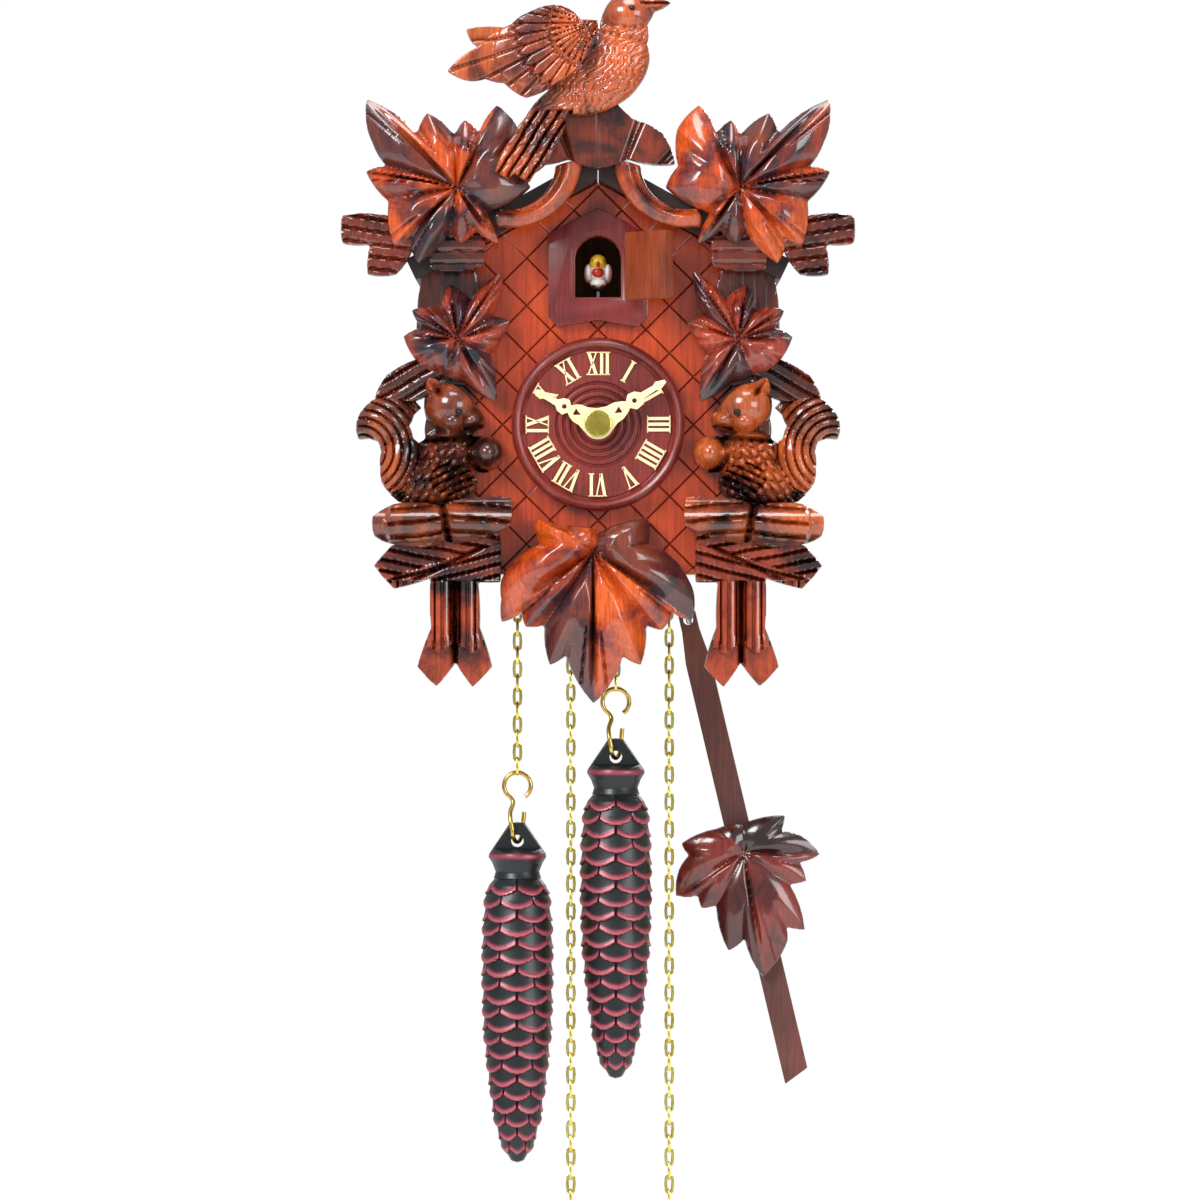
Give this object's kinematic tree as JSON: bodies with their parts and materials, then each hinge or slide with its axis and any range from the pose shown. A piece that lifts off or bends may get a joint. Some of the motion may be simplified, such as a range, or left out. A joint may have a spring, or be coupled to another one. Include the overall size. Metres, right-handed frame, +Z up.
{
  "type": "cuckoo clock",
  "caption": "Carved wall cuckoo clock with leaf and squirrel carvings, hinged cuckoo door, Roman dial, pine-cone weights on chains and a leaf pendulum.",
  "frame": {"origin": "centre of the wall hanger's rear face, in the wall plane", "axes": "+Z up, the clock faces -Y, +Y is into the wall, +X to the right seen from the front"},
  "size_m": [0.1834, 0.1325, 0.552],
  "materials": {
    "carved_wood": "glossy mahogany-stained lacquer",
    "case_wood": "glossy orange-brown lacquer with a scribed lattice",
    "dark_wood": "dark brown lacquer",
    "red_wood": "satin cherry-red stain",
    "plain_wood": "bare planed wood",
    "rod_wood": "matte brown stain",
    "brass": "polished",
    "chain_brass": "bright brass plate",
    "steel": "drawn and plain",
    "ivory_plastic": "moulded, ivory",
    "bird_plastic": "moulded and hand painted",
    "cast_iron": "dark lacquer with wine-red edges"
  },
  "bodies": {
    "case": {"case_front": "case_wood", "case_side_left": "dark_wood", "case_side_right": "dark_wood", "case_bottom": "plain_wood", "back_gable": "plain_wood", "wall_hanger": "brass", "roof_left": "dark_wood", "roof_right": "dark_wood", "door_surround": "red_wood", "dial": "red_wood", "crown_crest": "carved_wood", "top_leaf_left": "carved_wood", "top_leaf_right": "carved_wood", "side_leaf_left": "carved_wood", "side_leaf_right": "carved_wood", "squirrel_left": "carved_wood", "squirrel_right": "carved_wood", "logs_left": "carved_wood", "logs_right": "carved_wood", "bottom_leaf": "carved_wood", "top_bird": "carved_wood", "top_bird_near_wing": "carved_wood", "front_plate": "brass", "back_plate": "brass", "gong": "steel", "whistle_left": "plain_wood", "whistle_right": "plain_wood"},
    "back_panel": {"back_panel": "plain_wood"},
    "cuckoo_door": {"cuckoo_door": "red_wood"},
    "cuckoo_arm": {"cuckoo_arm": "steel"},
    "cuckoo_bird": {"cuckoo_bird": "bird_plastic"},
    "minute_work": {"cannon_pinion": "brass", "minute_hand": "ivory_plastic", "hand_nut": "brass"},
    "minute_wheel": {"minute_wheel": "brass"},
    "hour_work": {"hour_wheel": "brass", "hour_hand": "ivory_plastic"},
    "centre_wheel": {"centre_wheel": "brass"},
    "time_great_wheel": {"time_great_wheel": "brass"},
    "third_wheel": {"third_wheel": "brass"},
    "escape_wheel": {"escape_wheel": "brass"},
    "pendulum_leader": {"anchor_and_leader": "steel"},
    "pendulum_rod": {"pendulum_rod": "rod_wood"},
    "pendulum_leaf": {"pendulum_leaf": "carved_wood"},
    "strike_great_wheel": {"strike_great_wheel": "brass"},
    "gong_hammer": {"gong_hammer": "steel"},
    "bellows_left": {"bellows_top_left": "plain_wood"},
    "bellows_right": {"bellows_top_right": "plain_wood"},
    "time_chain_wheel": {"time_chain_wheel": "steel"},
    "time_weight": {"time_weight": "cast_iron", "time_weight_hook": "chain_brass", "time_chain_loaded": "chain_brass"},
    "time_chain_tail": {"time_chain_free": "chain_brass", "time_chain_hank": "chain_brass"},
    "strike_chain_wheel": {"strike_chain_wheel": "steel"},
    "strike_weight": {"strike_weight": "cast_iron", "strike_weight_hook": "chain_brass", "strike_chain_loaded": "chain_brass"},
    "strike_chain_tail": {"strike_chain_free": "chain_brass", "strike_chain_hank": "chain_brass"}
  },
  "joints": [
    {"name": "back_panel_pull", "type": "slide", "parent": "case", "child": "back_panel", "axis": [0, 1, 0], "range_m": [0, 0.03]},
    {"name": "cuckoo_arm_turn", "type": "hinge", "parent": "case", "child": "cuckoo_arm", "pos_m": [-0.046, -0.066, -0.0316], "axis": [0, 0, 1], "range_deg": [0, 26]},
    {"name": "cuckoo_door_swing", "type": "hinge", "parent": "case", "child": "cuckoo_door", "pos_m": [0.011, -0.0969, -0.018], "axis": [0, 0, 1], "range_deg": [-135, 0]},
    {"name": "cuckoo_bow", "type": "hinge", "parent": "cuckoo_arm", "child": "cuckoo_bird", "pos_m": [0, -0.0825, -0.024], "axis": [1, 0, 0], "range_deg": [0, 12]},
    {"name": "minute_hand_turn", "type": "hinge", "parent": "case", "child": "minute_work", "pos_m": [0, -0.1, -0.075], "axis": [0, 1, 0], "continuous": true},
    {"name": "minute_wheel_turn", "type": "hinge", "parent": "case", "child": "minute_wheel", "pos_m": [-0.01018, -0.079, -0.08518], "axis": [0, 1, 0], "continuous": true},
    {"name": "hour_hand_turn", "type": "hinge", "parent": "case", "child": "hour_work", "pos_m": [0, -0.1, -0.075], "axis": [0, 1, 0], "continuous": true},
    {"name": "escape_wheel_turn", "type": "hinge", "parent": "case", "child": "escape_wheel", "pos_m": [0.012, -0.063, -0.06], "axis": [0, 1, 0], "continuous": true},
    {"name": "third_wheel_turn", "type": "hinge", "parent": "case", "child": "third_wheel", "pos_m": [0.02223, -0.063, -0.078], "axis": [0, 1, 0], "continuous": true},
    {"name": "great_wheel_turn", "type": "hinge", "parent": "case", "child": "time_great_wheel", "pos_m": [0.0163, -0.063, -0.0997], "axis": [0, 1, 0], "continuous": true},
    {"name": "centre_wheel_turn", "type": "hinge", "parent": "case", "child": "centre_wheel", "pos_m": [0, -0.063, -0.075], "axis": [0, 1, 0], "continuous": true},
    {"name": "strike_wheel_turn", "type": "hinge", "parent": "case", "child": "strike_great_wheel", "pos_m": [-0.0198, -0.063, -0.0997], "axis": [0, 1, 0], "continuous": true},
    {"name": "pendulum_swing", "type": "hinge", "parent": "case", "child": "pendulum_leader", "pos_m": [0.0084, -0.036, -0.04], "axis": [0, 1, 0], "range_deg": [-1.5, 28]},
    {"name": "rod_hook_swing", "type": "hinge", "parent": "pendulum_leader", "child": "pendulum_rod", "pos_m": [0.0335, -0.036, -0.1458], "axis": [0, 1, 0], "range_deg": [-10, 10]},
    {"name": "leaf_slide", "type": "slide", "parent": "pendulum_rod", "child": "pendulum_leaf", "axis": [0.2306, 0, -0.973], "range_m": [-0.012, 0.02]},
    {"name": "hammer_lift", "type": "hinge", "parent": "case", "child": "gong_hammer", "pos_m": [-0.025, -0.03, -0.062], "axis": [0, 1, 0], "range_deg": [0, 15]},
    {"name": "bellows_left_lift", "type": "hinge", "parent": "case", "child": "bellows_left", "pos_m": [-0.0488, -0.017, -0.0479], "axis": [-1, 0, 0], "range_deg": [0, 14]},
    {"name": "bellows_right_lift", "type": "hinge", "parent": "case", "child": "bellows_right", "pos_m": [0.0488, -0.017, -0.0479], "axis": [-1, 0, 0], "range_deg": [0, 14]},
    {"name": "time_weight_drop", "type": "slide", "parent": "case", "child": "time_weight", "axis": [0, 0, -1], "range_m": [-0.022, 0.022]},
    {"name": "time_chain_wheel_turn", "type": "hinge", "parent": "case", "child": "time_chain_wheel", "pos_m": [0.0163, -0.063, -0.0997], "axis": [0, 1, 0], "range_deg": [-129, 129]},
    {"name": "time_chain_tail_rise", "type": "slide", "parent": "case", "child": "time_chain_tail", "axis": [0, 0, 1], "range_m": [-0.022, 0.022]},
    {"name": "strike_weight_drop", "type": "slide", "parent": "case", "child": "strike_weight", "axis": [0, 0, -1], "range_m": [-0.022, 0.022]},
    {"name": "strike_chain_wheel_turn", "type": "hinge", "parent": "case", "child": "strike_chain_wheel", "pos_m": [-0.0198, -0.063, -0.0997], "axis": [0, 1, 0], "range_deg": [-129, 129]},
    {"name": "strike_chain_tail_rise", "type": "slide", "parent": "case", "child": "strike_chain_tail", "axis": [0, 0, 1], "range_m": [-0.022, 0.022]}
  ],
  "couplings": [
    {"joint": "cuckoo_door_swing", "follows": "cuckoo_arm_turn", "ratio": -5.19},
    {"joint": "minute_wheel_turn", "follows": "minute_hand_turn", "ratio": -0.33333},
    {"joint": "hour_hand_turn", "follows": "minute_hand_turn", "ratio": 0.083333},
    {"joint": "third_wheel_turn", "follows": "escape_wheel_turn", "ratio": -0.15},
    {"joint": "great_wheel_turn", "follows": "escape_wheel_turn", "ratio": 0.020455},
    {"joint": "centre_wheel_turn", "follows": "escape_wheel_turn", "ratio": -0.020455},
    {"joint": "time_chain_wheel_turn", "follows": "time_weight_drop", "rad_per_m": -102.04},
    {"joint": "time_chain_tail_rise", "follows": "time_weight_drop", "ratio": 1},
    {"joint": "strike_chain_wheel_turn", "follows": "strike_weight_drop", "rad_per_m": -102.04},
    {"joint": "strike_chain_tail_rise", "follows": "strike_weight_drop", "ratio": 1}
  ]
}
